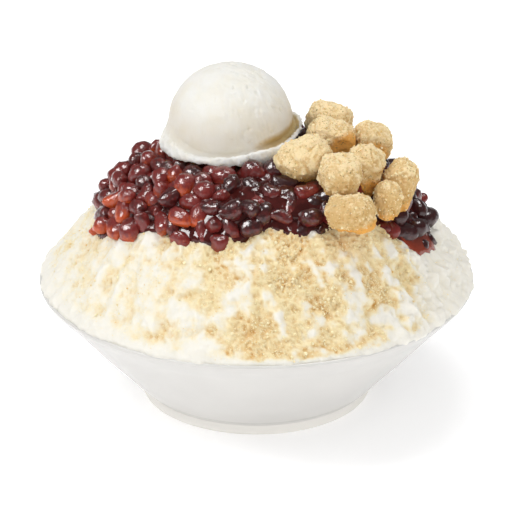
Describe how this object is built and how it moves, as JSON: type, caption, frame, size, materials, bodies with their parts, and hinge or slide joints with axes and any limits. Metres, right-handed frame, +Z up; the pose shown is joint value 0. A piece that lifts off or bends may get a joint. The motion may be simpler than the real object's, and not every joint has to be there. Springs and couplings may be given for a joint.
{
  "type": "bowl of bingsu",
  "caption": "Milk snow heaped in a wide footed bowl, topped with sweet red beans, floured rice cakes and a scoop of ice cream.",
  "frame": {"origin": "on the surface that the bowl stands on, under the middle of the object's box, which is the bowl's axis", "axes": "+Z up along the bowl's axis, +X to the side with the rice cakes, -Y to the front"},
  "size_m": [0.192, 0.192, 0.1508],
  "materials": {
    "porcelain": "white porcelain with a clear smooth glaze",
    "milk_snow": "shaved frozen milk, soft and rough, dusted with roasted soybean flour",
    "sweet_beans": "boiled red beans, wet with dark syrup",
    "vanilla_ice_cream": "scooped ice cream, smooth with fine scrape marks",
    "rice_cake": "soft rice cake covered in roasted soybean flour"
  },
  "bodies": {
    "root": {"bowl": "porcelain", "shaved_ice": "milk_snow", "red_beans": "sweet_beans", "ice_cream": "vanilla_ice_cream", "rice_cake_top": "rice_cake", "rice_cake_upper_middle": "rice_cake", "rice_cake_upper_right": "rice_cake", "rice_cake_left": "rice_cake", "rice_cake_centre": "rice_cake", "rice_cake_middle_right": "rice_cake", "rice_cake_far_right": "rice_cake", "rice_cake_small": "rice_cake", "rice_cake_lowest": "rice_cake"}
  },
  "joints": []
}
